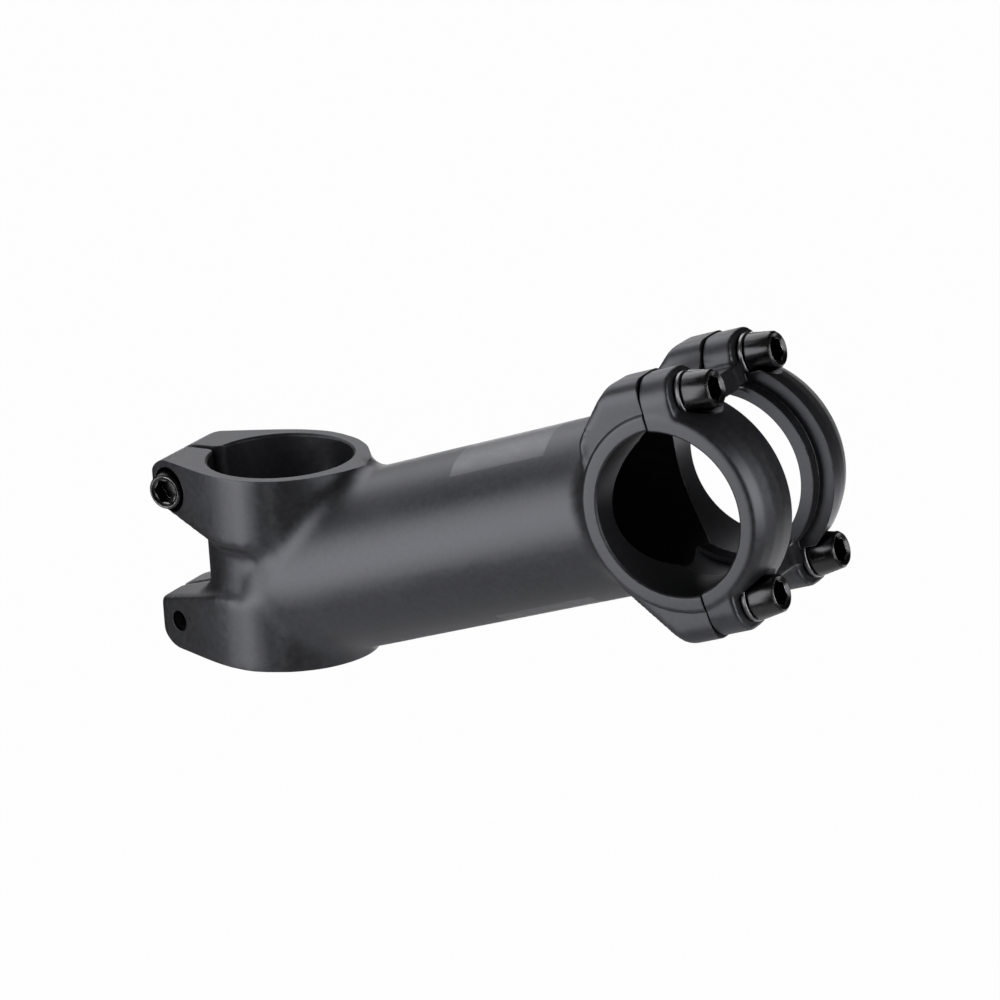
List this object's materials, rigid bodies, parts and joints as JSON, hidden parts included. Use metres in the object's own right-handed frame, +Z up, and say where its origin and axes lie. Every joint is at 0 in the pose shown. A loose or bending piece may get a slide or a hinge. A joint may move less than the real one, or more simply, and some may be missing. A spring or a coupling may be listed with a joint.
{
  "type": "handlebar stem",
  "caption": "Black threadless handlebar stem with a rising hollow tube, a split steerer clamp with opposed bolts and an open-window bolted faceplate.",
  "frame": {"origin": "on the steerer axis at the foot of the steerer clamp", "axes": "+Z up the steerer, +X forward to the handlebar, +Y to the rider's left"},
  "size_m": [0.1399, 0.0394, 0.0695],
  "materials": {
    "body_black": "fine sandblasted black anodising",
    "bolt_black": "glossy black",
    "washer_black": "satin black"
  },
  "bodies": {
    "stem_body": {"stem_body": "body_black"},
    "faceplate": {"faceplate": "body_black"},
    "faceplate_washer_upper_right": {"faceplate_washer_upper_right": "washer_black"},
    "faceplate_bolt_upper_right": {"faceplate_bolt_upper_right": "bolt_black"},
    "faceplate_washer_upper_left": {"faceplate_washer_upper_left": "washer_black"},
    "faceplate_bolt_upper_left": {"faceplate_bolt_upper_left": "bolt_black"},
    "faceplate_washer_lower_right": {"faceplate_washer_lower_right": "washer_black"},
    "faceplate_bolt_lower_right": {"faceplate_bolt_lower_right": "bolt_black"},
    "faceplate_washer_lower_left": {"faceplate_washer_lower_left": "washer_black"},
    "faceplate_bolt_lower_left": {"faceplate_bolt_lower_left": "bolt_black"},
    "steerer_washer_upper": {"steerer_washer_upper": "washer_black"},
    "steerer_bolt_upper": {"steerer_bolt_upper": "bolt_black"},
    "steerer_washer_lower": {"steerer_washer_lower": "washer_black"},
    "steerer_bolt_lower": {"steerer_bolt_lower": "bolt_black"}
  },
  "joints": [
    {"name": "faceplate_lift_off", "type": "slide", "parent": "stem_body", "child": "faceplate", "axis": [0.9563, 0, 0.2924], "range_m": [0, 0.025]},
    {"name": "faceplate_bolt_upper_right_travel", "type": "slide", "parent": "faceplate", "child": "faceplate_washer_upper_right", "axis": [0.9563, 0, 0.2924], "range_m": [0, 0.0088]},
    {"name": "faceplate_bolt_upper_right_turn", "type": "hinge", "parent": "faceplate_washer_upper_right", "child": "faceplate_bolt_upper_right", "pos_m": [0.09559, -0.0131, 0.06378], "axis": [0.9563, 0, 0.2924], "range_deg": [0, 3970]},
    {"name": "faceplate_bolt_upper_left_travel", "type": "slide", "parent": "faceplate", "child": "faceplate_washer_upper_left", "axis": [0.9563, 0, 0.2924], "range_m": [0, 0.0088]},
    {"name": "faceplate_bolt_upper_left_turn", "type": "hinge", "parent": "faceplate_washer_upper_left", "child": "faceplate_bolt_upper_left", "pos_m": [0.09559, 0.0131, 0.06378], "axis": [0.9563, 0, 0.2924], "range_deg": [0, 3970]},
    {"name": "faceplate_bolt_lower_right_travel", "type": "slide", "parent": "faceplate", "child": "faceplate_washer_lower_right", "axis": [0.9563, 0, 0.2924], "range_m": [0, 0.0088]},
    {"name": "faceplate_bolt_lower_right_turn", "type": "hinge", "parent": "faceplate_washer_lower_right", "child": "faceplate_bolt_lower_right", "pos_m": [0.10714, -0.0131, 0.026], "axis": [0.9563, 0, 0.2924], "range_deg": [0, 3970]},
    {"name": "faceplate_bolt_lower_left_travel", "type": "slide", "parent": "faceplate", "child": "faceplate_washer_lower_left", "axis": [0.9563, 0, 0.2924], "range_m": [0, 0.0088]},
    {"name": "faceplate_bolt_lower_left_turn", "type": "hinge", "parent": "faceplate_washer_lower_left", "child": "faceplate_bolt_lower_left", "pos_m": [0.10714, 0.0131, 0.026], "axis": [0.9563, 0, 0.2924], "range_deg": [0, 3970]},
    {"name": "steerer_bolt_upper_travel", "type": "slide", "parent": "stem_body", "child": "steerer_washer_upper", "axis": [0, -1, 0], "range_m": [0, 0.0064]},
    {"name": "steerer_bolt_upper_turn", "type": "hinge", "parent": "steerer_washer_upper", "child": "steerer_bolt_upper", "pos_m": [-0.0195, -0.0057, 0.033], "axis": [0, -1, 0], "range_deg": [0, 2890]},
    {"name": "steerer_bolt_lower_travel", "type": "slide", "parent": "stem_body", "child": "steerer_washer_lower", "axis": [0, 1, 0], "range_m": [0, 0.0064]},
    {"name": "steerer_bolt_lower_turn", "type": "hinge", "parent": "steerer_washer_lower", "child": "steerer_bolt_lower", "pos_m": [-0.0195, 0.0057, 0.0058], "axis": [0, 1, 0], "range_deg": [0, 2890]}
  ],
  "couplings": [
    {"joint": "faceplate_bolt_upper_right_turn", "follows": "faceplate_bolt_upper_right_travel", "rad_per_m": 7854},
    {"joint": "faceplate_bolt_upper_left_turn", "follows": "faceplate_bolt_upper_left_travel", "rad_per_m": 7854},
    {"joint": "faceplate_bolt_lower_right_turn", "follows": "faceplate_bolt_lower_right_travel", "rad_per_m": 7854},
    {"joint": "faceplate_bolt_lower_left_turn", "follows": "faceplate_bolt_lower_left_travel", "rad_per_m": 7854},
    {"joint": "steerer_bolt_upper_turn", "follows": "steerer_bolt_upper_travel", "rad_per_m": 7854},
    {"joint": "steerer_bolt_lower_turn", "follows": "steerer_bolt_lower_travel", "rad_per_m": 7854}
  ]
}
